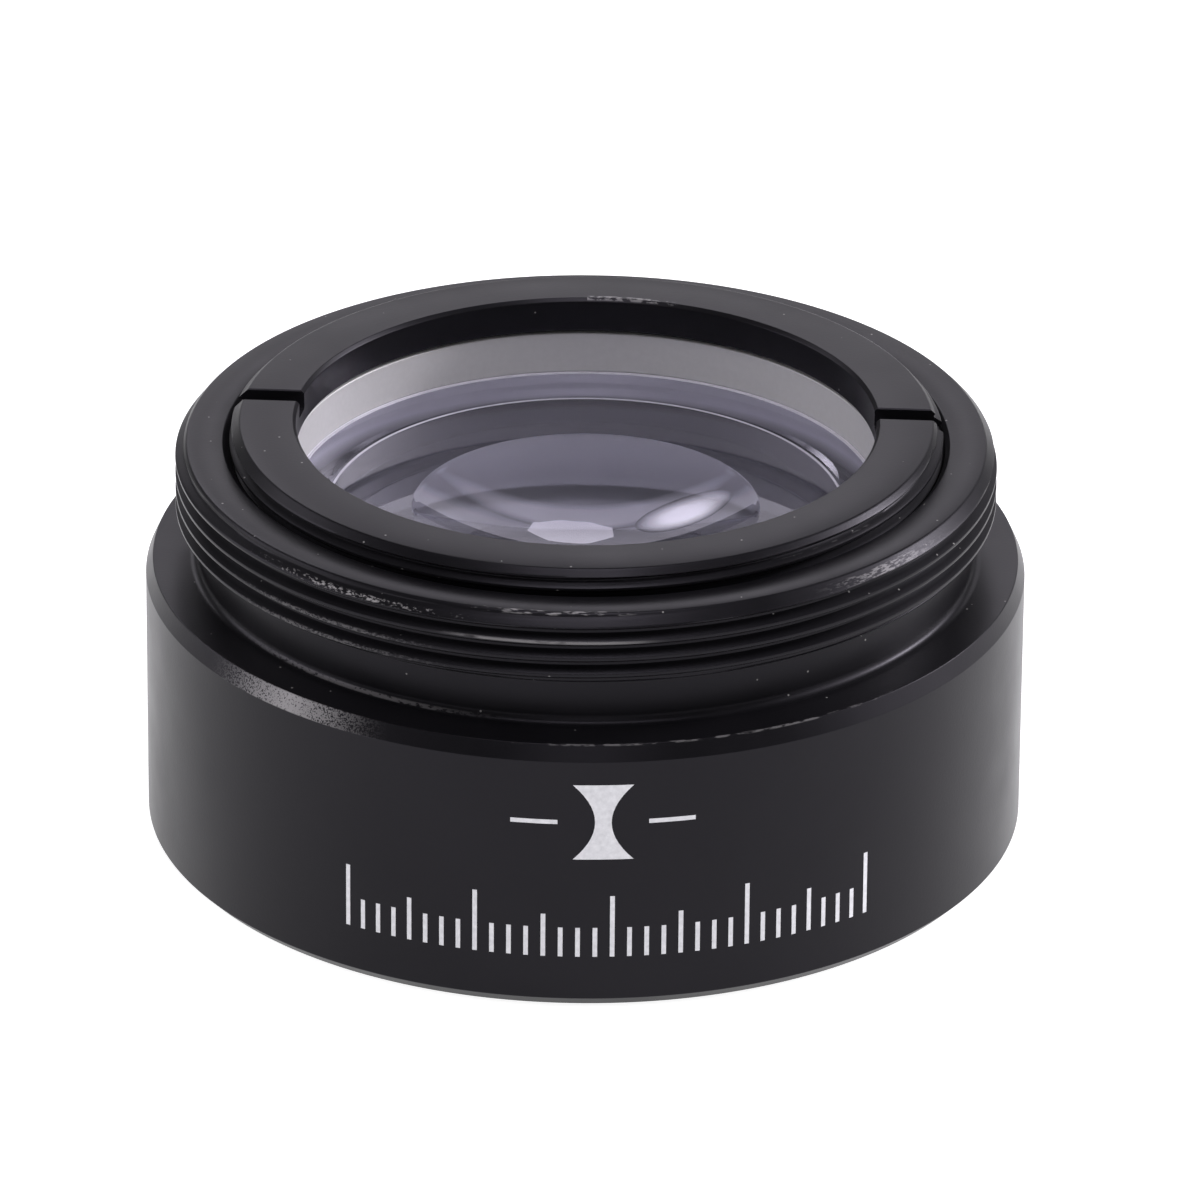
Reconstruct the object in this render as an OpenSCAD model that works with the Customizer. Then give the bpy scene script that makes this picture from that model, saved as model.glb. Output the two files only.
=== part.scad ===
// Screw-in lens cell of a 1.25 inch class Barlow lens.
// Origin: centre of the bottom face. +Z: along the optical axis, towards the retaining ring.
// -Y: the side that carries the marking. Millimetres.

/* [Barrel] */
// Outside diameter of the barrel
barrel_d = 30.6; // [30.2:0.1:31.6]
// Height of the shoulder that stops the mating tube
shoulder_h = 9.9; // [9.6:0.1:12]
// Chamfer at the barrel's lower edge
barrel_chamfer = 0.4; // [0.2:0.02:0.5]
// Width of the steep chamfer at the barrel's upper edge
shoulder_chamfer_w = 0.25; // [0.15:0.01:0.4]
// Height of the steep chamfer at the barrel's upper edge
shoulder_chamfer_h = 0.55; // [0.3:0.05:0.7]
// Diameter of the relief between shoulder and thread
neck_d = 26.9; // [26.5:0.1:27.3]

/* [Male thread, M28.5 x 0.6] */
// Major diameter over the crests
thread_d = 28.5; // [28.3:0.1:28.6]
// Distance from crest to crest
thread_pitch = 0.6; // [0.5:0.05:0.7]
// Height of the rim above the bottom face
rim_h = 14.24; // [14.2:0.02:15]
// Chamfer at the rim's outer edge
rim_chamfer = 0.42; // [0.3:0.02:0.5]

/* [Filter thread, M28.5 x 0.6] */
// Diameter over the crests of the female thread
filter_minor_d = 27.85; // [27.7:0.05:28]
// Depth of the threaded recess under the barrel
filter_depth = 3.6; // [3:0.1:3.8]

/* [Lens seat] */
// Height of the seat that carries the glass
seat_h = 8.7; // [8.4:0.05:9]
// Clear aperture under the glass
aperture_d = 18; // [17:0.1:19.4]

/* [Glass] */
// Diameter of the lens
glass_d = 22; // [21.6:0.1:22.4]
// Height of the lens rim above the bottom face
glass_rim_h = 12.1; // [12:0.05:12.3]
// Diameter of the flat ledge around the bowl, inside the wide bevel
ledge_d = 17.94; // [16:0.02:18.4]
// How far the wide bevel drops from the rim to the ledge
bevel_drop = 0.5; // [0.3:0.05:0.7]
// Diameter of the bowl's edge
bowl_d = 12.1; // [10:0.1:14]
// Radius of curvature of the bowl
bowl_r = 12; // [10:0.5:16]

/* [Retaining ring, M25 x 0.5] */
// Diameter over the ring's crests
ring_d = 24.74; // [24.6:0.02:24.76]
// Diameter of the opening in the ring
ring_bore_d = 20.1; // [19.4:0.1:20.2]
// How far the ring stands proud of the rim
ring_proud = 0.76; // [0.6:0.02:0.9]
// Thickness of the ring's lip
lip_t = 1.22; // [1.1:0.02:1.3]
// Thread pitch of the ring
ring_pitch = 0.5; // [0.4:0.05:0.6]
// Chamfer at the ring's outer upper edge
ring_chamfer = 0.39; // [0.3:0.01:0.45]
// Width of the two spanner slots
slot_w = 0.86; // [0.6:0.02:1]
// Depth of the spanner slots
slot_depth = 0.7; // [0.5:0.05:0.9]
// How far the slots lie behind the ring's centre
slot_offset = 1.15; // [0:0.05:1.2]
// Turn of the slot line about the axis, in degrees
slot_turn = -3.2; // [-10:0.2:10]

/* [Slip washer and spacer ring] */
// Thickness of the slip washer
washer_t = 0.15; // [0.1:0.01:0.16]
// Inside diameter of the spacer ring
spacer_bore_d = 20.34; // [20.2:0.02:20.8]

/* [Hidden] */
$fn = 128;
black = [0.13, 0.13, 0.14];
eps = 0.01;            // air between faces that rest on each other
fit_gap = 0.03;        // radial room for the glass and the spacer ring in the seat bore
crest_gap = 0.06;      // radial room between the crests of the ring and of its bore
thread_depth = 0.34;   // crest to root of the M28.5 x 0.6 threads
ring_thread_depth = 0.28;
ring_edge = 0.12;      // broken inner upper edge of the ring
bore_edge = 0.17;      // broken edge at the mouth of the ring's bore
crest_w = 0.1;         // width of the flat on each crest
neck_fillet = 0.3;     // corner between the neck and the shoulder
land = 0.03;           // width left of a top crest below its chamfer
glass_edge = 0.12;     // small bevel on the outer edges of the glass

neck_top = rim_h - rim_chamfer - 3.85 * thread_pitch;
seat_bore_r = glass_d / 2 + fit_gap;
ring_top = rim_h + ring_proud;
lip_bottom = ring_top - lip_t;
ring_foot = glass_rim_h + 0.5;
ring_bore_r = ring_d / 2 + crest_gap;
thread_floor = ring_foot - 0.2;
spacer_top = lip_bottom - washer_t - 2 * eps;
ledge_h = glass_rim_h - bevel_drop;
bowl_apex = ledge_h - sag(bowl_r, bowl_d / 2);

// Depth of a sphere of radius r at the distance a from its axis
function sag(r, a) = r - sqrt(r * r - a * a);

// Side of a thread as one annular ridge for each pitch, from the lowest crest upwards
function ridges(low_crest, pitch, count, crest_r, root_r) =
    [for (i = [0:count - 1]) let (z = low_crest + i * pitch, flank = abs(crest_r - root_r) * tan(30))
        each [[root_r, z - crest_w / 2 - flank], [crest_r, z - crest_w / 2],
            [crest_r, z + crest_w / 2], [root_r, z + crest_w / 2 + flank]]];

// Male thread under a chamfered top edge: full ridges, then a top crest that the chamfer cuts short
function male_thread(top, chamfer, pitch, count, crest_r, depth) =
    let (land_foot = top - chamfer - land, low_crest = land_foot + crest_w / 2 - count * pitch)
    concat(ridges(low_crest, pitch, count, crest_r, crest_r - depth),
        [[crest_r - depth, land_foot - depth * tan(30)], [crest_r, land_foot],
            [crest_r, top - chamfer], [crest_r - chamfer, top]]);

// Solid of revolution from a profile in the r-z half plane
module turned(profile) rotate_extrude() polygon(profile);

// Plain ring between two radii and two heights
module plain_ring(inner_r, outer_r, low, high)
    turned([[inner_r, low], [outer_r, low], [outer_r, high], [inner_r, high]]);

// Barrel with neck, male thread and rim, before it is bored
module cell_blank() turned(concat(
    [[0, 0], [barrel_d / 2 - barrel_chamfer, 0], [barrel_d / 2, barrel_chamfer],
        [barrel_d / 2, shoulder_h - shoulder_chamfer_h],
        [barrel_d / 2 - shoulder_chamfer_w, shoulder_h],
        [neck_d / 2 + neck_fillet, shoulder_h], [neck_d / 2, shoulder_h + neck_fillet],
        [neck_d / 2, neck_top]],
    male_thread(rim_h, rim_chamfer, thread_pitch, 3, thread_d / 2, thread_depth), [[0, rim_h]]));

// Everything that is bored out of the barrel: filter thread, aperture, seat bore and ring thread
module cell_bores() {
    turned(concat([[0, -1], [filter_minor_d / 2 + 0.4, -1], [filter_minor_d / 2 + 0.4, 0]],
        ridges(0.65, thread_pitch, 5, filter_minor_d / 2, filter_minor_d / 2 + thread_depth),
        [[filter_minor_d / 2 + thread_depth, filter_depth], [0, filter_depth]]));
    translate([0, 0, -1]) cylinder(d = aperture_d, h = seat_h + 2);
    translate([0, 0, seat_h]) cylinder(r = seat_bore_r, h = rim_h);
    turned(concat([[0, thread_floor], [ring_bore_r + ring_thread_depth, thread_floor]],
        ridges(thread_floor + 0.35, ring_pitch, 3, ring_bore_r, ring_bore_r + ring_thread_depth),
        [[ring_bore_r, rim_h - bore_edge], [ring_bore_r + bore_edge, rim_h],
            [ring_bore_r + bore_edge, rim_h + 1], [0, rim_h + 1]]));
}

module lens_cell() color(black) difference() {
    cell_blank();
    cell_bores();
}

// Threaded ring: the lip presses on the slip washer, the skirt reaches down past the spacer ring
module retaining_ring() color(black) difference() {
    turned(concat([[ring_bore_d / 2, lip_bottom], [seat_bore_r, lip_bottom], [seat_bore_r, ring_foot],
            [ring_d / 2 - ring_thread_depth, ring_foot]],
        male_thread(ring_top, ring_chamfer, ring_pitch, 3, ring_d / 2, ring_thread_depth),
        [[ring_bore_d / 2 + ring_edge, ring_top], [ring_bore_d / 2, ring_top - ring_edge]]));
    rotate([0, 0, slot_turn]) translate([-barrel_d / 2, slot_offset - slot_w / 2, ring_top - slot_depth])
        cube([barrel_d, slot_w, slot_depth + 1]);
}

module slip_washer() color("dimgray")
    plain_ring(spacer_bore_d / 2 + 0.15, seat_bore_r - 0.05, lip_bottom - eps - washer_t,
        lip_bottom - eps);

module spacer_ring() color("silver")
    plain_ring(spacer_bore_d / 2, glass_d / 2 - fit_gap, glass_rim_h + eps, spacer_top);

// Plano-concave lens: ground edge, flat rim, wide bevel, flat ledge and a deep bowl
module negative_lens() color("lavender", 0.4) difference() {
    turned([[0, seat_h + eps], [glass_d / 2 - glass_edge, seat_h + eps],
        [glass_d / 2, seat_h + eps + glass_edge], [glass_d / 2, glass_rim_h - glass_edge],
        [glass_d / 2 - glass_edge, glass_rim_h], [spacer_bore_d / 2, glass_rim_h],
        [ledge_d / 2, ledge_h], [0, ledge_h]]);
    translate([0, 0, bowl_apex + bowl_r]) sphere(r = bowl_r);
}

lens_cell();
retaining_ring();
slip_washer();
spacer_ring();
negative_lens();
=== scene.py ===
"""Looks of the Barlow lens cell: turned black anodised metal, real helical threads and coated glass.

Sizes of the object are in millimetres and scaled by MM; the studio is in metres. The frame's origin is
the middle of the bottom face, with +Z along the optical axis and -Y towards the marked side.
"""

import math

import bmesh
import bpy
import numpy as np
from mathutils import Matrix, Vector


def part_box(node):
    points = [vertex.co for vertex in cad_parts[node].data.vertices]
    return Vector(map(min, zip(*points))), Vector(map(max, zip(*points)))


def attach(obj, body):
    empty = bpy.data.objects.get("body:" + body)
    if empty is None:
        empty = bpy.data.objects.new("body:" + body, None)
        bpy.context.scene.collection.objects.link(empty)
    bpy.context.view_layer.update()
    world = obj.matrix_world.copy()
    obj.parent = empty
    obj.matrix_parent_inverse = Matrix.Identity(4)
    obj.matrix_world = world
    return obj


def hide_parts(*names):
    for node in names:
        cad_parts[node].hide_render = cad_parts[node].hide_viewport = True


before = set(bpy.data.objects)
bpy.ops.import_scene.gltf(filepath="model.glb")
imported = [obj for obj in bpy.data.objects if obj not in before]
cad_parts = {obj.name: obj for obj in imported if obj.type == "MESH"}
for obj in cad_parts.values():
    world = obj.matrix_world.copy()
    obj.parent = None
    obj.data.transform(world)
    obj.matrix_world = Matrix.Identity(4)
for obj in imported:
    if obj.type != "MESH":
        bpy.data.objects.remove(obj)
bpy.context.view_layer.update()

MM = 0.001
COLUMNS = 256                         # columns of a turned mesh
ANGLES = np.linspace(0, 2 * math.pi, COLUMNS + 1)
FLANK = math.tan(math.radians(60))    # fall in radius of a thread's flank for each mm of height
CREST_HALF = 0.05                     # half the width of the flat on a crest, mm
# Heights of the rows on a thread, in pitches from a crest
PITCH_MARKS = (-0.5, -0.43, -0.37, -0.25, -0.15, -0.09, -0.04, 0.04, 0.09, 0.15, 0.25, 0.37, 0.43)


def foot_mm(node):
    """Lowest point of a CAD node, in millimetres."""
    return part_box(node)[0].z / MM


def top_mm(node):
    """Highest point of a CAD node, in millimetres."""
    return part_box(node)[1].z / MM


def radius_mm(node):
    """Outer radius of a CAD node about the axis, in millimetres."""
    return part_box(node)[1].x / MM


# ---------------------------------------------------------------- sizes, mm
BARREL_R = radius_mm("lens_cell")
RIM_Z = top_mm("lens_cell")
RING_TOP = top_mm("retaining_ring")
RING_FOOT = foot_mm("retaining_ring")
RING_R = radius_mm("retaining_ring")
GLASS_R = radius_mm("negative_lens")
GLASS_RIM_Z = top_mm("negative_lens")
GLASS_FOOT = foot_mm("negative_lens")
SPACER_R = radius_mm("spacer_ring")
SPACER_TOP = top_mm("spacer_ring")
SPACER_FOOT = foot_mm("spacer_ring")

# Barrel and neck
SHOULDER_Z = 9.9
BARREL_CHAMFER = 0.4
SHOULDER_CHAMFER_W = 0.25
SHOULDER_CHAMFER_H = 0.55
NECK_R = 13.45
NECK_FILLET = 0.3
NECK_TOP = 11.46

# Male thread, up to the chamfered rim
THREAD_R = 14.25
THREAD_PITCH = 0.6
THREAD_DEPTH = 0.34
THREAD_PHASE = 12.83       # height of a crest on the +X side
RIM_CHAMFER = 0.42

# Threaded bore for the ring
BORE_MOUTH_R = 12.6
BORE_MOUTH_H = 0.44
BORE_CREST_R = 12.16
BORE_ROOT_R = 12.46
BORE_FLOOR = RING_FOOT - 0.2
BORE_FLOOR_R = 12.4
GROOVE_ROOM = 0.05         # room around the ring's crests in their groove

# Seat, aperture and filter thread
SEAT_BORE_R = 11.03
SEAT_FACE = 8.7
SEAT_HOLE = 9.0
RECESS_Z = 3.6
RECESS_FLOOR_R = 14.2
FILTER_MINOR_R = 13.925
FILTER_ROOT_R = FILTER_MINOR_R + THREAD_DEPTH
FILTER_CLEAR_R = 13.9
FILTER_MOUTH_R = 14.33
FILTER_MOUTH_H = 0.4
FILTER_GROOVE_R = 14.28    # groove that the thread runs out into
FILTER_GROOVE_H = 0.3
FILTER_RUNOUT = 0.2

# Retaining ring
RING_PITCH = 0.5
RING_THREAD_DEPTH = 0.28
RING_LEAD_IN = 0.15
RING_CHAMFER = 0.39
RING_BORE_R = 10.05
RING_EDGE = 0.12
LIP_BOTTOM = 13.78
SLOT_W = 0.86
SLOT_DEPTH = 0.7
SLOT_OFFSET = 1.15
SLOT_TURN = -3.2

# Slip washer and spacer ring
REST_GAP = 0.01
WASHER_EDGE = 0.02
SPACER_BORE_R = 10.17
SPACER_MIDDLE_R = 10.5

# Glass: wide bevel, ledge and bowl, with the half widths of the worn corners
GLASS_CHAMFER = 0.15
GLASS_EDGE = 0.03
BEVEL_TOP_R = 10.1
BEVEL_TOP_EASE = 0.12
LEDGE_R = 8.97
LEDGE_Z = 11.6
LEDGE_EASE = 0.6
BOWL_R = 6.05
BOWL_CURVE = 12.0
GROUND_TOP = 0.12
GROUND_LEDGE = 0.06

# Laser mark: u runs along the barrel's side, from the middle of the marked side towards +X
MARK_RAISE = 0.005         # how far the turned side stays inside the CAD radius, to leave room
MARK_DEPTH = 0.02          # how deep the mark's back lies in the side
MARK_SHY = 0.001           # how far its face stays inside the CAD radius
SIGN_U = 0.67
SIGN_Z = 7.1
SIGN_REACH = 1.4
SIGN_WAIST = 0.28          # half the lens sign's width at its waist
SIGN_FLARE = 0.75          # what it gains towards its ends
DASH_OFFSET = 2.35
DASH_HALF = 0.8
DASH_HALF_H = 0.08
TICKS = 33
TICKS_FROM = -8.4
TICKS_SPAN = 18.8
TICK_FOOT = 2.0
TICK_HALF = 0.08
LONG_TICK = 2.3
MIDDLE_TICK = 1.6
SHORT_TICK = 1.1

# Edges and joins of the turned meshes
EDGE = 0.05      # usual radius of a broken edge
CRISP = 0.02     # rounding where two stretches of a threaded wall meet
JOIN = 0.02      # gap in height between two stretches of rows
INSET = 0.03     # how far a flat starts inside a chamfer's rounded edge
GUARD = 0.025    # distance of the extra row on each side of a rounded edge

# ---------------------------------------------------------------- finish
BLACK = 0.005
BLACK_ROUGH = 0.34
BLACK_SPECULAR = 0.155
DUST_SCALE = 1600.0
DUST_SIZE = 0.07
DUST_SHARE = 0.55
DUST_FROM_Z = 9.8
GLASS_CLEAR = 0.95
GROUND_WHITE = 0.85
CORNER_WHITE = 0.55
SHADED_TO_Z = 9.2         # painted shade on the ground edge fades out between these heights
UNSHADED_FROM_Z = 10.1
METAL_WHITE = 0.6
METAL_ROUGH = 0.5
METAL_SHARE = 0.2

# ---------------------------------------------------------------- light, in metres, watts and degrees
MIDDLE = (0, 0, 0.008)
SOFT_TINT = (0.96, 0.93, 1.0)
WORLD = 0.1
FLOOR_GLOW = 0.9
FLOOR_HALF = 2.0
FLOOR_GAP = 0.00002
LEFT_WATTS = 3.6
RIGHT_WATTS = 4.3
FRONT_WATTS = 0.6
TOP_WATTS = 5.0
LAMP_WATTS = 7.0
BACK_GLOW = 1.12
HIGH_GLOW = 1.8
OCTAGON_GLOW = 4.0
ROUND_GLOW = 7.0
CAMERA_ELEVATION = 26.13
CAMERA_PITCH = CAMERA_ELEVATION - 0.273
CAMERA_YAW = 0.087
CAMERA_ROLL = 0.453
CAMERA_DISTANCE = 0.3805
CAMERA_AIM_Z = 0.006
FOCAL_MM = 326.46


# ---------------------------------------------------------------- mesh tools
def smin(a, b):
    """Smaller of two radii, with the corner between them rounded."""
    return 0.5 * (a + b - np.sqrt((a - b) ** 2 + CRISP * CRISP))


def smax(a, b):
    """Larger of two radii, with the corner between them rounded."""
    return 0.5 * (a + b + np.sqrt((a - b) ** 2 + CRISP * CRISP))


def sag(curve_r, at):
    """Depth of a sphere of radius curve_r at the distance at from its axis."""
    return curve_r - math.sqrt(curve_r * curve_r - at * at)


def eased(points, steps=3):
    """Profile points (r, z, radius): each corner is replaced by a short arc of its radius.

    An extra row on each side of an arc keeps the flats next to it evenly shaded.
    """
    out = []
    for i, (r, z, fillet) in enumerate(points):
        here = Vector((r, z))
        if not fillet or i in (0, len(points) - 1):
            out.append((r, z))
            continue
        before = (Vector(points[i - 1][:2]) - here).normalized()
        after = (Vector(points[i + 1][:2]) - here).normalized()
        half = before.angle(after) / 2
        back = fillet / math.tan(half)
        start, end = here + before * back, here + after * back
        centre = here + (before + after).normalized() * (fillet / math.sin(half))
        out.append(tuple(start + before * GUARD))
        for k in range(steps + 1):
            spoke = (start - centre).lerp(end - centre, k / steps).normalized() * fillet
            out.append(tuple(centre + spoke))
        out.append(tuple(end + after * GUARD))
    return out


def level(points):
    """Rows of constant radius and height, one for each profile point."""
    return [(np.full_like(ANGLES, r), np.full_like(ANGLES, z)) for r, z in points]


def thread_radius(z, pitch, phase, crest_r, low_r, high_r):
    """Radius of a right-hand thread at height z for every column's angle."""
    turn = (z - phase) / pitch - ANGLES / (2 * math.pi)
    off = np.abs(turn - np.round(turn)) * pitch
    flank = crest_r + (CREST_HALF - off) * FLANK
    return smax(smin(flank, high_r), low_r)


def thread_rows(low, high, pitch, phase, radius):
    """Rows that follow the helix between two heights; radius(z) gives the wall for every column."""
    first = math.floor((low - phase) / pitch) - 2
    last = math.ceil((high - phase) / pitch) + 1
    rows = []
    for k in range(first, last + 1):
        for mark in PITCH_MARKS:
            z = phase + (k + mark + ANGLES / (2 * math.pi)) * pitch
            if z[-1] <= low or z[0] >= high:
                continue
            z = np.clip(z, low, high)
            rows.append((radius(z), z))
    return rows


def level_rows(low, high, count, radius):
    """Level rows from one height to another; radius(z) gives the wall for every column."""
    return [(radius(z), z) for z in (np.full_like(ANGLES, at) for at in np.linspace(low, high, count))]


def placed(name, data):
    """Object in the scene with this mesh, light or camera."""
    item = bpy.data.objects.new(name, data)
    bpy.context.scene.collection.objects.link(item)
    return item


def mesh_of(name, bm):
    """Mesh with the faces of a bmesh, which is freed."""
    mesh = bpy.data.meshes.new(name)
    bm.to_mesh(mesh)
    bm.free()
    return mesh


def turned(name, rows, closed=True):
    """Mesh swept through the rows around the axis. Rows that meet are merged."""
    r = np.array([row[0] for row in rows])
    z = np.array([row[1] for row in rows])
    verts = np.stack([r * np.cos(ANGLES), r * np.sin(ANGLES), z], -1).reshape(-1, 3) * MM
    count, wide = len(rows), COLUMNS + 1
    i = np.arange(count if closed else count - 1)[:, None] * wide
    j = np.arange(COLUMNS)[None, :]
    up = (i + wide) % (count * wide)
    quads = np.stack([i + j, i + j + 1, up + j + 1, up + j], -1).reshape(-1, 4)
    mesh = bpy.data.meshes.new(name)
    mesh.from_pydata(verts.tolist(), [], quads.tolist())
    bm = bmesh.new()
    bm.from_mesh(mesh)
    bmesh.ops.remove_doubles(bm, verts=bm.verts, dist=2e-7)
    bmesh.ops.dissolve_degenerate(bm, edges=bm.edges, dist=1e-8)
    bmesh.ops.recalc_face_normals(bm, faces=bm.faces)
    for face in bm.faces:
        face.smooth = True
    bm.to_mesh(mesh)
    bm.free()
    return placed(name, mesh)


def sharpen(piece, degrees=35):
    """Edges that turn more than this stay crisp under smooth shading."""
    piece.data.set_sharp_from_angle(angle=math.radians(degrees))


# ---------------------------------------------------------------- material tools
class Nodes:
    """Short way to build a node material: each call adds a node and gives back its output."""

    def __init__(self, name):
        self.material = bpy.data.materials.new(name)
        self.material.use_nodes = True
        self.tree = self.material.node_tree
        self.tree.nodes.clear()
        self.out = self.tree.nodes.new("ShaderNodeOutputMaterial")

    def add(self, kind, inputs=None, output=0, **settings):
        """New node. An input is a value, or another node's output to link to."""
        node = self.tree.nodes.new("ShaderNode" + kind)
        for key, value in settings.items():
            setattr(node, key, value)
        for key, value in (inputs or {}).items():
            socket = node.inputs[key]
            if isinstance(value, bpy.types.NodeSocket):
                self.tree.links.new(value, socket)
            else:
                socket.default_value = value
        return node.outputs[output]

    def math(self, operation, a, b):
        """Result of a sum, product or comparison."""
        return self.add("Math", {0: a, 1: b}, operation=operation)

    def mix(self, factor, a, b):
        """Colour between a and b."""
        node = self.tree.nodes.new("ShaderNodeMix")
        node.data_type = "RGBA"
        for socket, value in ((node.inputs[0], factor), (node.inputs[6], a), (node.inputs[7], b)):
            if isinstance(value, bpy.types.NodeSocket):
                self.tree.links.new(value, socket)
            else:
                socket.default_value = value if isinstance(value, (int, float)) else (*value, 1)
        return node.outputs[2]

    def band(self, value, low, high, soft):
        """One where the value lies between low and high, fading to nothing over soft."""
        rise = self.add("MapRange", {"Value": value, "From Min": low - soft, "From Max": low + soft})
        fall = self.add("MapRange", {"Value": value, "From Min": high + soft, "From Max": high - soft})
        return self.math("MULTIPLY", rise, fall)

    def surface(self, shader):
        """The material, once this shader is its surface."""
        self.tree.links.new(shader, self.out.inputs["Surface"])
        return self.material


def scuff_and_highlight_mask(n, place, scuffs_and_highlights):
    """How much light grey shows: bare metal of the scuffs, and a painted highlight where one is listed. A
    patch is a dictionary of ranges:

    z and r in millimetres, turn and fade in degrees from the marked side towards +X; grain, stretch and
    cover give the size, the length and the share of its speckles.
    """
    x = n.add("SeparateXYZ", {0: place}, output="X")
    y = n.add("SeparateXYZ", {0: place}, output="Y")
    z = n.add("SeparateXYZ", {0: place}, output="Z")
    flat = n.add("CombineXYZ", {0: x, 1: y})
    radius = n.add("VectorMath", {0: flat}, output="Value", operation="LENGTH")
    turn = n.math("ARCTAN2", x, n.math("MULTIPLY", y, -1.0))
    total = 0.0
    for patch in scuffs_and_highlights:
        heights = n.band(z, patch["z"][0] * MM, patch["z"][1] * MM, 0.02 * MM)
        radii = n.band(radius, patch["r"][0] * MM, patch["r"][1] * MM, 0.02 * MM)
        turns = n.band(turn, math.radians(patch["turn"][0]), math.radians(patch["turn"][1]),
                       math.radians(patch["fade"]))
        along = n.math("MULTIPLY", turn, THREAD_R * MM / patch["stretch"])
        unrolled = n.add("CombineXYZ", {0: along, 1: z, 2: radius})
        speck = n.add("TexNoise", {"Vector": unrolled, "Scale": patch["grain"], "Detail": 2.0,
                                   "Roughness": 0.6})
        edge = 0.5 + (0.5 - patch["cover"]) * 0.4
        bare = n.add("MapRange", {"Value": speck, "From Min": edge - 0.1, "From Max": edge + 0.1})
        shown = n.add("MapRange", {"Value": n.math("ADD", bare, turns), "From Min": 1.0, "From Max": 1.6})
        where = n.math("MULTIPLY", n.math("MULTIPLY", heights, radii), n.math("MULTIPLY", turns, shown))
        total = n.math("MAXIMUM", total, n.math("MULTIPLY", where, patch["amount"]))
    return total


def dust_mask(n, place):
    """Small specks of dust, one in some of the cells of a Voronoi pattern."""
    near = n.add("TexVoronoi", {"Vector": place, "Scale": DUST_SCALE})
    chance = n.add("TexVoronoi", {"Vector": place, "Scale": DUST_SCALE}, output="Color")
    kept = n.math("LESS_THAN", n.add("SeparateColor", {0: chance}), DUST_SHARE)
    dot = n.add("MapRange", {"Value": near, "From Min": DUST_SIZE, "From Max": DUST_SIZE * 0.6})
    return n.math("MULTIPLY", kept, dot)


def anodised(name, scuffs_and_highlights):
    """Satin black anodised aluminium with a fine blasted grain, cloudy gloss, dust, scuffs and any
    painted highlight listed with them.
    """
    n = Nodes(name)
    place = n.add("TexCoord", output="Object")
    fine = n.add("TexNoise", {"Vector": place, "Scale": 9000.0, "Detail": 3.0, "Roughness": 0.6})
    cloud = n.add("TexNoise", {"Vector": place, "Scale": 260.0, "Detail": 4.0, "Roughness": 0.55})
    clouded = n.add("MapRange", {"Value": cloud, "From Min": 0.35, "From Max": 0.7})
    colour = n.mix(clouded, (BLACK, BLACK * 0.96, BLACK * 1.14),
                   (BLACK * 1.3, BLACK * 1.25, BLACK * 1.45))
    # Bare metal where scuffed, and on the cell a painted highlight along a crest
    worn = scuff_and_highlight_mask(n, place, scuffs_and_highlights)
    height = n.add("SeparateXYZ", {0: place}, output="Z")
    dust = n.math("MULTIPLY", dust_mask(n, place), n.math("GREATER_THAN", height, DUST_FROM_Z * MM))
    colour = n.mix(worn, colour, (0.34, 0.33, 0.33))
    colour = n.mix(n.math("MULTIPLY", dust, 0.5), colour, (0.5, 0.49, 0.47))
    rough = n.add("MapRange", {"Value": cloud, "From Min": 0.3, "From Max": 0.7,
                               "To Min": BLACK_ROUGH - 0.04, "To Max": BLACK_ROUGH + 0.04})
    bump = n.add("Bump", {"Height": fine, "Strength": 0.12, "Distance": 0.02 * MM})
    shader = n.add("BsdfPrincipled", {"Base Color": colour, "Roughness": rough, "Normal": bump,
                                      "Specular IOR Level": BLACK_SPECULAR, "IOR": 1.5,
                                      "Specular Tint": (0.92, 0.88, 1.0, 1)})
    return n.surface(shader)


def laser_white(name):
    """Pale laser mark in the anodised coat."""
    n = Nodes(name)
    place = n.add("TexCoord", output="Object")
    grain = n.add("TexNoise", {"Vector": place, "Scale": 6000.0, "Detail": 3.0})
    colour = n.mix(grain, (0.5, 0.5, 0.52), (0.8, 0.8, 0.82))
    return n.surface(n.add("BsdfPrincipled", {"Base Color": colour, "Roughness": 0.6,
                                              "Specular IOR Level": 0.2}))


def glass(name):
    """Polished glass whose reflections are tinted by its violet antireflection coat."""
    n = Nodes(name)
    place = n.add("TexCoord", output="Object")
    haze = n.add("TexNoise", {"Vector": place, "Scale": 180.0, "Detail": 2.0})
    colour = n.mix(haze, (0.85, 0.84, 0.99), (0.89, 0.88, 1.0))
    shader = n.add("BsdfPrincipled", {
        "Base Color": colour, "Roughness": 0.0, "IOR": 1.6, "Transmission Weight": GLASS_CLEAR,
        "Specular Tint": (0.82, 0.78, 1.0, 1)})
    return n.surface(shader)


def ground_glass(name):
    """Fine-ground glass: light, and darker towards the seat as painted shade, where less light reaches
    the edge.
    """
    n = Nodes(name)
    place = n.add("TexCoord", output="Object")
    grit = n.add("TexNoise", {"Vector": place, "Scale": 2500.0, "Detail": 3.0})
    height = n.add("SeparateXYZ", {0: place}, output="Z")
    # Painted shade: the ground edge darkens towards the seat, where less light reaches it.
    bare = n.add("MapRange", {"Value": height, "From Min": SHADED_TO_Z * MM,
                              "From Max": UNSHADED_FROM_Z * MM})
    low, high = GROUND_WHITE * 0.92, GROUND_WHITE
    light = n.mix(grit, (low, low * 0.98, low * 1.06), (high, high * 0.98, high * 1.06))
    colour = n.mix(bare, (0.02, 0.02, 0.025), light)
    return n.surface(n.add("BsdfPrincipled", {"Base Color": colour, "Roughness": 0.6}))


def worn_glass(name):
    """Slightly chipped corner between two polished faces."""
    n = Nodes(name)
    place = n.add("TexCoord", output="Object")
    grit = n.add("TexNoise", {"Vector": place, "Scale": 1800.0, "Detail": 4.0})
    low, high = CORNER_WHITE * 0.7, CORNER_WHITE * 1.1
    colour = n.mix(grit, (low, low * 0.98, low * 1.1), (high, high * 0.98, high * 1.1))
    return n.surface(n.add("BsdfPrincipled", {"Base Color": colour, "Roughness": 0.5}))


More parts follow.
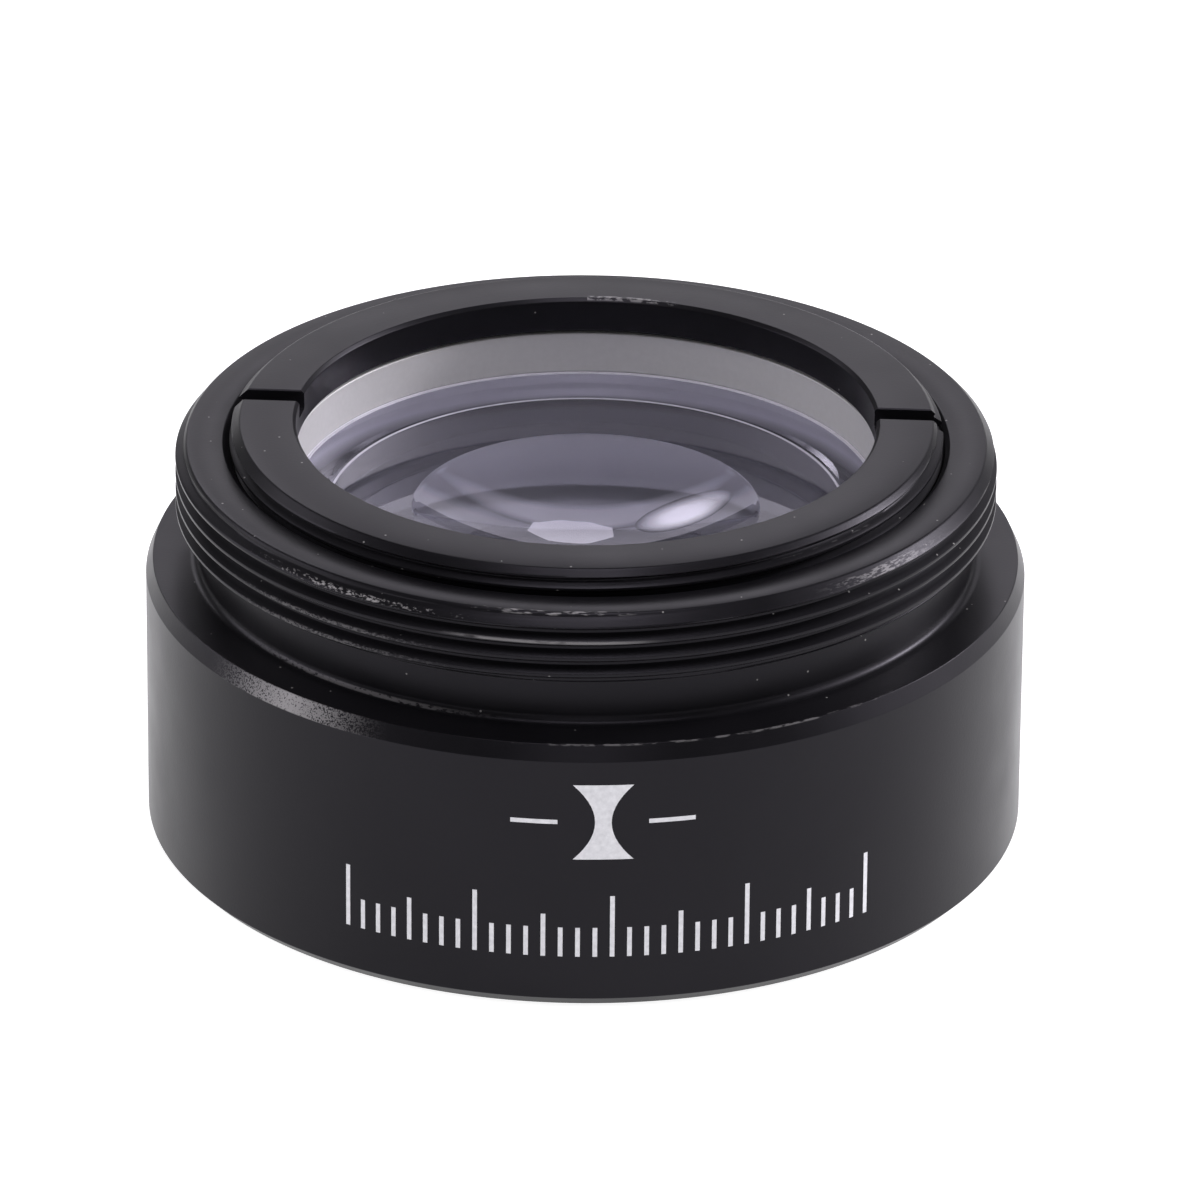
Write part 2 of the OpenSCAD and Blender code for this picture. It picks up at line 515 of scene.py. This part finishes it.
def satin_metal(name):
    """Bead-blasted bright aluminium of the spacer ring."""
    n = Nodes(name)
    place = n.add("TexCoord", output="Object")
    grain = n.add("TexNoise", {"Vector": place, "Scale": 5000.0, "Detail": 3.0})
    low, high = METAL_WHITE * 0.9, METAL_WHITE
    colour = n.mix(grain, (low, low * 0.99, low * 0.98), (high, high * 0.99, high * 0.98))
    bump = n.add("Bump", {"Height": grain, "Strength": 0.1, "Distance": 0.02 * MM})
    shader = n.add("BsdfPrincipled", {"Base Color": colour, "Roughness": METAL_ROUGH, "Normal": bump,
                                      "Metallic": METAL_SHARE})
    return n.surface(shader)


def film(name):
    """Black polyester film of the slip washer."""
    n = Nodes(name)
    place = n.add("TexCoord", output="Object")
    grain = n.add("TexNoise", {"Vector": place, "Scale": 3000.0})
    colour = n.mix(grain, (0.02, 0.02, 0.02), (0.035, 0.035, 0.035))
    return n.surface(n.add("BsdfPrincipled", {"Base Color": colour, "Roughness": 0.5}))


# ---------------------------------------------------------------- the cell
def barrel_outside():
    """Bottom face, barrel side, shoulder and neck, from the filter mouth outwards and up."""
    c, side = BARREL_CHAMFER, BARREL_R - MARK_RAISE
    return eased([
        (FILTER_MOUTH_R, 0, 0), (side - c, 0, EDGE), (side, c, 0.06),
        (side, SHOULDER_Z - SHOULDER_CHAMFER_H, EDGE), (side - SHOULDER_CHAMFER_W, SHOULDER_Z, 0.04),
        (NECK_R + 0.01, SHOULDER_Z, NECK_FILLET), (NECK_R, NECK_TOP, 0)], steps=5)


def male_thread():
    """Helical thread between the neck and the rim's chamfer, then the chamfer it runs out into."""
    root = THREAD_R - THREAD_DEPTH
    runout = (NECK_TOP, NECK_TOP + (THREAD_R - NECK_R) / FLANK, RIM_Z - RIM_CHAMFER, RIM_Z)
    limit = (NECK_R, THREAD_R, THREAD_R, THREAD_R - RIM_CHAMFER)

    def wall(z):
        thread = thread_radius(z, THREAD_PITCH, THREAD_PHASE, THREAD_R, root, THREAD_R)
        return smin(thread, np.interp(z, runout, limit))

    chamfer_foot = RIM_Z - RIM_CHAMFER - JOIN
    rows = thread_rows(NECK_TOP, chamfer_foot, THREAD_PITCH, THREAD_PHASE, wall)
    return rows + level_rows(chamfer_foot, RIM_Z - JOIN, 14, wall)


def ring_bore():
    """Threaded bore for the retaining ring, from its mouth down."""
    def wall(z):
        thread = thread_radius(z, RING_PITCH, 0.0, RING_R + GROOVE_ROOM, BORE_CREST_R, BORE_ROOT_R)
        mouth = np.interp(z, (RIM_Z - BORE_MOUTH_H, RIM_Z), (BORE_CREST_R, BORE_MOUTH_R))
        return smax(thread, mouth)

    thread_top = RIM_Z - 0.2
    rows = level_rows(RIM_Z - JOIN, thread_top, 6, wall)
    return rows + thread_rows(BORE_FLOOR, thread_top, RING_PITCH, 0.0, wall)[::-1]


def filter_bore():
    """Female filter thread, from its inner end down to the mouth."""
    groove_foot = RECESS_Z - FILTER_GROOVE_H

    def wall(z):
        thread = thread_radius(z, THREAD_PITCH, 0.0, FILTER_ROOT_R, FILTER_MINOR_R, FILTER_ROOT_R)
        relief = np.interp(z, (0.0, FILTER_MOUTH_H, groove_foot - FILTER_RUNOUT, groove_foot),
                           (FILTER_MOUTH_R, FILTER_CLEAR_R, FILTER_CLEAR_R, FILTER_GROOVE_R))
        return smax(thread, relief)

    return thread_rows(JOIN, RECESS_Z, THREAD_PITCH, 0.0, wall)[::-1]


# Scuffs of bare metal, and one painted highlight along a crest
CELL_SCUFFS_AND_HIGHLIGHT = (
    # Shoulder's chamfer, left
    {"z": (9.33, 9.93), "r": (15.02, 15.32), "turn": (-50, -33), "fade": 8, "grain": 16000.0,
     "stretch": 1.0, "cover": 0.7, "amount": 0.75},
    # Foot of the rim's chamfer, left
    {"z": (13.84, 13.97), "r": (13.9, 14.3), "turn": (-48, -20), "fade": 10, "grain": 13000.0,
     "stretch": 2.0, "cover": 0.27, "amount": 0.9},
    # Outer edge of the rim, front
    {"z": (14.1, 14.3), "r": (13.75, 13.9), "turn": (-14, 6), "fade": 5, "grain": 9000.0,
     "stretch": 4.0, "cover": 0.3, "amount": 0.7},
    # Rim's chamfer, right
    {"z": (13.9, 14.12), "r": (13.8, 14.2), "turn": (40, 54), "fade": 8, "grain": 12000.0,
     "stretch": 4.0, "cover": 0.5, "amount": 0.6},
    # Painted highlight along the second crest, front
    {"z": (13.24, 13.34), "r": (14.2, 14.3), "turn": (-18, 8), "fade": 4, "grain": 3000.0,
     "stretch": 4.0, "cover": 0.9, "amount": 0.45},
    # Fillet of the neck, left
    {"z": (9.94, 10.06), "r": (13.46, 13.6), "turn": (-52, -20), "fade": 12, "grain": 9000.0,
     "stretch": 2.0, "cover": 0.7, "amount": 0.32},
    # Shoulder's outer edge, front and right
    {"z": (9.86, 9.93), "r": (14.99, 15.1), "turn": (-10, 44), "fade": 12, "grain": 6000.0,
     "stretch": 3.0, "cover": 0.4, "amount": 0.3},
    # Lower crests, left
    {"z": (11.9, 13.1), "r": (14.2, 14.3), "turn": (-54, -24), "fade": 10, "grain": 12000.0,
     "stretch": 1.5, "cover": 0.45, "amount": 0.22},
)


def lens_cell():
    """Barrel, neck, both its threads, the ring's bore, the seat and the aperture, turned in one piece."""
    rim = [(THREAD_R - RIM_CHAMFER - INSET, RIM_Z), (BORE_MOUTH_R + JOIN, RIM_Z)]
    seat = eased([(BORE_FLOOR_R, BORE_FLOOR, 0), (SEAT_BORE_R, BORE_FLOOR, EDGE),
                  (SEAT_BORE_R, SEAT_FACE, EDGE), (SEAT_HOLE, SEAT_FACE, EDGE),
                  (SEAT_HOLE, RECESS_Z, EDGE), (RECESS_FLOOR_R, RECESS_Z, 0)])
    rows = (level(barrel_outside()) + male_thread() + level(rim) + ring_bore() + level(seat)
            + filter_bore())
    piece = turned("cell", rows)
    sharpen(piece)
    piece.data.materials.append(anodised("anodised_cell", CELL_SCUFFS_AND_HIGHLIGHT))
    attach(piece, "cell")
    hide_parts("lens_cell")


# ---------------------------------------------------------------- the ring, washer and spacer
def ring_side():
    """Outside of the retaining ring: helical thread, then the chamfered top edge."""
    root = RING_R - RING_THREAD_DEPTH
    top = RING_TOP - RING_CHAMFER

    def wall(z):
        thread = thread_radius(z, RING_PITCH, 0.0, RING_R, root, RING_R)
        edge = np.interp(z, (RING_FOOT, RING_FOOT + RING_LEAD_IN, top, RING_TOP),
                         (root - 0.05, RING_R, RING_R, RING_R - RING_CHAMFER))
        return smin(thread, edge)

    rows = thread_rows(RING_FOOT, top - JOIN, RING_PITCH, 0.0, wall)
    return rows + level_rows(top - JOIN, RING_TOP - JOIN, 12, wall)


RING_SCUFFS = (
    # Inner edge at the back
    {"z": (14.9, 15.02), "r": (10.1, 10.3), "turn": (163, 184), "fade": 4, "grain": 8000.0,
     "stretch": 3.0, "cover": 0.4, "amount": 0.6},
    # Foot of the chamfer, front
    {"z": (14.58, 14.68), "r": (12.2, 12.4), "turn": (-60, 60), "fade": 12, "grain": 6000.0,
     "stretch": 3.0, "cover": 0.15, "amount": 0.3},
)


def retaining_ring():
    """Threaded ring whose lip holds the washer, with two spanner slots in its top."""
    inside = eased([
        (RING_R - RING_CHAMFER - INSET, RING_TOP, 0), (RING_BORE_R + RING_EDGE, RING_TOP, EDGE),
        (RING_BORE_R, RING_TOP - RING_EDGE, EDGE), (RING_BORE_R, LIP_BOTTOM, 0.04),
        (SEAT_BORE_R, LIP_BOTTOM, 0.04), (SEAT_BORE_R, RING_FOOT, EDGE),
        (RING_R - RING_THREAD_DEPTH - 0.08, RING_FOOT, 0)], steps=4)
    piece = turned("ring", ring_side() + level(inside))
    cut_slots(piece)
    sharpen(piece)
    piece.data.materials.append(anodised("anodised_ring", RING_SCUFFS))
    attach(piece, "ring")
    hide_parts("retaining_ring")


def cut_slots(piece):
    """Two spanner slots, sawn straight across the ring a little behind its centre.

    The saw's outline is a slot with a broken upper edge and rounded lower corners.
    """
    half = [(SLOT_W / 2 + 0.35, 0.31), (SLOT_W / 2 + 0.04, 0.0), (SLOT_W / 2, -0.04),
            (SLOT_W / 2, 0.08 - SLOT_DEPTH), (SLOT_W / 2 - 0.025, 0.025 - SLOT_DEPTH),
            (SLOT_W / 2 - 0.08, -SLOT_DEPTH)]
    outline = half + [(-y, z) for y, z in reversed(half)]
    bm = bmesh.new()
    ends = [[bm.verts.new((x * MM, (y + SLOT_OFFSET) * MM, (z + RING_TOP) * MM)) for y, z in outline]
            for x in (-BARREL_R, BARREL_R)]
    bm.faces.new(ends[0])
    bm.faces.new(ends[1][::-1])
    for i in range(len(outline)):
        bm.faces.new((ends[0][i - 1], ends[1][i - 1], ends[1][i], ends[0][i]))
    bmesh.ops.recalc_face_normals(bm, faces=bm.faces)
    bm.transform(Matrix.Rotation(math.radians(SLOT_TURN), 4, "Z"))
    saw = placed("saw", mesh_of("saw", bm))
    cut = piece.modifiers.new("slots", "BOOLEAN")
    cut.operation = "DIFFERENCE"
    cut.object = saw
    cut.solver = "EXACT"
    depsgraph = bpy.context.evaluated_depsgraph_get()
    result = bpy.data.meshes.new_from_object(piece.evaluated_get(depsgraph))
    piece.modifiers.clear()
    piece.data = result
    bpy.data.objects.remove(saw)


def slip_washer():
    """Thin film washer between the ring's lip and the spacer ring."""
    inner, outer = SPACER_BORE_R + 0.15, SEAT_BORE_R - 0.05
    low, high = SPACER_TOP + REST_GAP, LIP_BOTTOM - REST_GAP
    piece = turned("washer", level(eased([
        (inner + 0.3, low, 0), (outer, low, WASHER_EDGE), (outer, high, WASHER_EDGE),
        (inner, high, WASHER_EDGE), (inner, low, WASHER_EDGE), (inner + 0.29, low, 0)])))
    sharpen(piece)
    piece.data.materials.append(film("washer_film"))
    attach(piece, "washer")
    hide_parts("slip_washer")


def spacer_ring():
    """Plain ring that stands on the rim of the glass."""
    piece = turned("spacer", level(eased([
        (SPACER_MIDDLE_R, SPACER_FOOT, 0), (SPACER_R, SPACER_FOOT, EDGE), (SPACER_R, SPACER_TOP, EDGE),
        (SPACER_BORE_R, SPACER_TOP, EDGE), (SPACER_BORE_R, SPACER_FOOT, EDGE),
        (SPACER_MIDDLE_R - 0.01, SPACER_FOOT, 0)])))
    sharpen(piece)
    piece.data.materials.append(satin_metal("spacer_metal"))
    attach(piece, "cell")
    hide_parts("spacer_ring")


# ---------------------------------------------------------------- the glass
def glass_element():
    """Plano-concave lens: ground edge, flat rim, polished bevel and ledge around a deep bowl.

    All is polished but the rim and edge, which are ground, and the worn corners of the bevel.
    """
    ground, worn = 1, 2
    apex = LEDGE_Z - sag(BOWL_CURVE, BOWL_R)
    bowl = [(r, apex + sag(BOWL_CURVE, r)) for r in np.linspace(BOWL_R - 0.12, 0.0, 60)]
    outside = eased([
        (0.0, GLASS_FOOT, 0), (GLASS_R - GLASS_CHAMFER, GLASS_FOOT, GLASS_EDGE),
        (GLASS_R, GLASS_FOOT + GLASS_CHAMFER, GLASS_EDGE),
        (GLASS_R, GLASS_RIM_Z - GLASS_CHAMFER, GLASS_EDGE),
        (GLASS_R - GLASS_CHAMFER, GLASS_RIM_Z, GLASS_EDGE),
        (BEVEL_TOP_R, GLASS_RIM_Z, BEVEL_TOP_EASE), (LEDGE_R, LEDGE_Z, LEDGE_EASE),
        (BOWL_R, LEDGE_Z, GLASS_EDGE), (BOWL_R - 0.1, LEDGE_Z - 0.06, 0)])
    piece = turned("lens", level(outside + bowl), closed=False)
    for material in (glass("coated_glass"), ground_glass("ground_edge"), worn_glass("worn_corner")):
        piece.data.materials.append(material)
    for face in piece.data.polygons:
        x, y, z = (v / MM for v in face.center)
        r = math.hypot(x, y)
        if z < GLASS_FOOT + 0.01:
            continue
        if r > BEVEL_TOP_R + 0.08:
            face.material_index = ground
        elif r > BEVEL_TOP_R - GROUND_TOP or (abs(r - LEDGE_R) < GROUND_LEDGE and z > LEDGE_Z - 0.1):
            face.material_index = worn
    sharpen(piece, 8)
    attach(piece, "cell")
    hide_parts("negative_lens")


# ---------------------------------------------------------------- the mark
def plate(bm, rows):
    """Thin closed plate in the barrel's side. Each row is a list of (distance along the side, height)."""
    skins = []
    for radius in (BARREL_R - MARK_RAISE - MARK_DEPTH, BARREL_R - MARK_SHY):
        skins.append([[bm.verts.new((radius * math.sin(u / BARREL_R) * MM,
                                     -radius * math.cos(u / BARREL_R) * MM, z * MM))
                       for u, z in row] for row in rows])
    inner, outer = skins
    for low, high in zip(outer, outer[1:]):
        for i in range(len(low) - 1):
            bm.faces.new((low[i], low[i + 1], high[i + 1], high[i]))
    for low, high in zip(inner, inner[1:]):
        for i in range(len(low) - 1):
            bm.faces.new((low[i], high[i], high[i + 1], low[i + 1]))
    rim = [(i, 0) for i in range(len(rows))]
    rim += [(len(rows) - 1, j) for j in range(1, len(rows[-1]))]
    rim += [(i, len(rows[0]) - 1) for i in range(len(rows) - 2, -1, -1)]
    rim += [(0, j) for j in range(len(rows[0]) - 2, 0, -1)]
    for (i, j), (k, m) in zip(rim, rim[1:] + rim[:1]):
        bm.faces.new((inner[i][j], inner[k][m], outer[k][m], outer[i][j]))


def block(bm, middle, half_width, low, high):
    """Rectangular plate, bent round the barrel in steps along its width."""
    across = np.linspace(middle - half_width, middle + half_width, max(2, int(half_width / 0.1)))
    plate(bm, [[(u, low) for u in across], [(u, high) for u in across]])


def laser_mark():
    """A diverging lens drawn in section, over a row of graduation ticks."""
    bm = bmesh.new()
    rows = []
    for z in np.linspace(SIGN_Z - SIGN_REACH, SIGN_Z + SIGN_REACH, 15):
        half = SIGN_WAIST + SIGN_FLARE * ((z - SIGN_Z) / SIGN_REACH) ** 2
        rows.append([(u, z) for u in np.linspace(SIGN_U - half, SIGN_U + half, 9)])
    plate(bm, rows)
    for side in (-1, 1):
        block(bm, SIGN_U + side * DASH_OFFSET, DASH_HALF, SIGN_Z - DASH_HALF_H, SIGN_Z + DASH_HALF_H)
    for i in range(TICKS):
        reach = LONG_TICK if i % 8 == 0 else MIDDLE_TICK if i % 4 == 0 else SHORT_TICK
        middle = TICKS_FROM + i * TICKS_SPAN / (TICKS - 1)
        block(bm, middle, TICK_HALF, TICK_FOOT, TICK_FOOT + reach)
    bmesh.ops.recalc_face_normals(bm, faces=bm.faces)
    piece = placed("laser_mark", mesh_of("laser_mark", bm))
    piece.data.materials.append(laser_white("laser_white"))
    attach(piece, "cell")


# ---------------------------------------------------------------- stage
def floor():
    """Pale floor that glows a little, like a light table."""
    mesh = bpy.data.meshes.new("floor")
    half = FLOOR_HALF
    mesh.from_pydata([(-half, -half, 0), (half, -half, 0), (half, half, 0), (-half, half, 0)], [],
                     [(0, 1, 2, 3)])
    piece = placed("floor", mesh)
    n = Nodes("floor_paper")
    mesh.materials.append(n.surface(n.add("BsdfPrincipled", {
        "Base Color": (0.6, 0.6, 0.6, 1), "Roughness": 0.9, "Specular IOR Level": 0.1,
        "Emission Color": (1, 1, 1, 1), "Emission Strength": FLOOR_GLOW})))
    piece.location.z = -FLOOR_GAP


def softbox(name, at, size, power):
    """Soft area light at a point, turned towards the object."""
    light = bpy.data.lights.new(name, "AREA")
    light.shape = "RECTANGLE"
    light.size, light.size_y = size
    light.energy = power
    light.color = SOFT_TINT
    lamp = placed(name, light)
    lamp.location = at
    lamp.rotation_euler = (Vector(MIDDLE) - Vector(at)).to_track_quat("-Z", "Y").to_euler()


def lit_card(name, distance, azimuth, elevation, sides, radius, strength, soft=0.0, stretch=1.0):
    """Glowing card that the camera doesn't see; azimuth counts from straight behind towards +X.

    It is stretch times as wide as high, and its light falls off over the outer share named by soft.
    """
    a, e = math.radians(azimuth), math.radians(elevation)
    to_card = Vector((math.sin(a) * math.cos(e), math.cos(a) * math.cos(e), math.sin(e)))
    corners = [(radius * stretch * math.cos(t), radius * math.sin(t), 0)
               for t in (math.pi / sides + 2 * math.pi * np.arange(sides) / sides)]
    mesh = bpy.data.meshes.new(name)
    mesh.from_pydata(corners, [], [tuple(range(sides))])
    piece = placed(name, mesh)
    piece.location = to_card * distance + Vector(MIDDLE)
    piece.rotation_euler = to_card.to_track_quat("Z", "Y").to_euler()
    n = Nodes(name + "_light")
    place = n.add("TexCoord", output="Object")
    even = n.add("VectorMath", {0: place, 1: (1 / stretch, 1, 1)}, operation="MULTIPLY")
    out = n.add("VectorMath", {0: even}, output="Value", operation="LENGTH")
    glow = n.add("MapRange", {"Value": out, "From Min": radius * (1 - soft), "From Max": radius,
                              "To Min": strength, "To Max": strength * (0.0 if soft else 1.0)})
    mesh.materials.append(n.surface(n.add("Emission", {"Color": (*SOFT_TINT, 1), "Strength": glow})))
    piece.visible_camera = False


def studio():
    """Softboxes left, right, above and weakly in front, a lamp at the right, and cards behind.

    The two wide cards give the black coat its sheen; the octagon and the round lamp show in the glass.
    """
    world = bpy.data.worlds.new("studio")
    world.use_nodes = True
    background = world.node_tree.nodes["Background"]
    background.inputs["Color"].default_value = (1, 1, 1, 1)
    background.inputs["Strength"].default_value = WORLD
    bpy.context.scene.world = world
    softbox("left", (-0.85, 0.1, 0.35), (0.8, 0.5), LEFT_WATTS)
    softbox("right", (0.8, 0.1, 0.38), (0.8, 0.6), RIGHT_WATTS)
    softbox("front", (0, -0.9, 0.42), (0.35, 0.35), FRONT_WATTS)
    softbox("top", (0, -0.35, 1.1), (0.5, 0.5), TOP_WATTS)
    softbox("right_lamp", (0.9, 0.3, 0.45), (0.2, 0.2), LAMP_WATTS)
    lit_card("back_card", 1.3, 0, 22, 32, 0.5, BACK_GLOW, soft=0.3, stretch=1.8)
    lit_card("high_card", 1.25, 0, 46, 32, 0.17, HIGH_GLOW, soft=0.5, stretch=4.5)
    lit_card("octagon", 1.1, 3, 37, 8, 0.145, OCTAGON_GLOW)
    lit_card("round_lamp", 1.1, -21.5, 36, 32, 0.17, ROUND_GLOW, soft=0.6)
    bpy.context.scene.view_settings.view_transform = "Standard"


def camera():
    """Long lens in front of the cell, looking down at it by 26 degrees."""
    elevation, pitch = math.radians(CAMERA_ELEVATION), math.radians(CAMERA_PITCH)
    yaw, roll = math.radians(CAMERA_YAW), math.radians(CAMERA_ROLL)
    forward = Vector((math.sin(yaw) * math.cos(pitch), math.cos(yaw) * math.cos(pitch), -math.sin(pitch)))
    side = Vector((math.cos(yaw), -math.sin(yaw), 0))
    above = side.cross(forward)
    right = side * math.cos(roll) + above * math.sin(roll)
    up = above * math.cos(roll) - side * math.sin(roll)
    data = bpy.data.cameras.new("camera")
    data.sensor_width = 36
    data.lens = FOCAL_MM
    data.clip_start = 0.01
    view = placed("camera", data)
    turn = Matrix((right, up, -forward)).transposed().to_4x4()
    place = (0, -CAMERA_DISTANCE * math.cos(elevation),
             CAMERA_DISTANCE * math.sin(elevation) + CAMERA_AIM_Z)
    view.matrix_world = Matrix.Translation(place) @ turn
    bpy.context.scene.camera = view


camera()
floor()
studio()
lens_cell()
retaining_ring()
slip_washer()
spacer_ring()
glass_element()
laser_mark()
